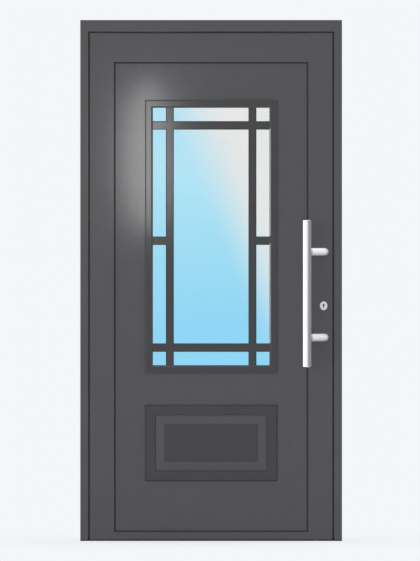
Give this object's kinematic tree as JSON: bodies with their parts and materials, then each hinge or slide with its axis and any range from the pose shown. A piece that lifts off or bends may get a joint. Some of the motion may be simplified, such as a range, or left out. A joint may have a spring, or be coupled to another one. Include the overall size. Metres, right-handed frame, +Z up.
{
  "type": "pvc entrance door",
  "caption": "Anthracite PVC entrance door in its frame: barred window over a fielded cassette, steel pull bar outside, lever inside, leaf swinging inwards.",
  "frame": {"origin": "middle of the threshold's underside, halfway through the frame's depth", "axes": "+X to the right as seen from outside, +Y indoors, +Z up"},
  "size_m": [1.055, 0.247, 2.1],
  "materials": {
    "pvc": "anthracite foil",
    "moulding": "satin",
    "aluminium_dark": "anodised",
    "steel": "satin",
    "hinge": "powder coat",
    "rubber": "matt",
    "glass": "clear",
    "spacer": "mill"
  },
  "bodies": {
    "frame": {"threshold": "aluminium_dark", "frame_head": "pvc", "frame_jamb_left": "pvc", "frame_jamb_right": "pvc", "strike_plates": "steel", "frame_seal": "rubber", "hinge_jamb_halves": "hinge", "hinge_pins": "steel"},
    "leaf": {"leaf_stile_left": "pvc", "leaf_stile_right": "pvc", "leaf_rail_top": "pvc", "leaf_rail_bottom": "pvc", "door_panel": "pvc", "panel_gasket": "rubber", "glass_pane_outside": "glass", "glass_pane_inside": "glass", "glass_spacer": "spacer", "cassette_outside": "moulding", "cassette_inside": "moulding", "pull_bar": "steel", "pull_bar_post_lower": "steel", "pull_bar_post_upper": "steel", "lock_cover_outside": "steel", "lock_cylinder": "steel", "lock_faceplate": "steel", "lock_bolts": "steel", "lever_backplate": "steel", "lever_handle": "steel", "hinge_leaf_halves": "hinge", "panel_bead_left": "pvc", "panel_bead_right": "pvc", "panel_bead_top": "pvc", "panel_bead_bottom": "pvc", "surround_outside_left": "moulding", "surround_outside_right": "moulding", "surround_outside_top": "moulding", "surround_outside_bottom": "moulding", "bar_left_outside": "moulding", "bar_right_outside": "moulding", "bars_cross_outside": "moulding", "surround_inside_left": "moulding", "surround_inside_right": "moulding", "surround_inside_top": "moulding", "surround_inside_bottom": "moulding", "bar_left_inside": "moulding", "bar_right_inside": "moulding", "bars_cross_inside": "moulding"}
  },
  "joints": [
    {"name": "door_swing", "type": "hinge", "parent": "frame", "child": "leaf", "pos_m": [-0.5045, 0.053, 1.029], "axis": [0, 0, 1], "range_deg": [0, 100]}
  ]
}
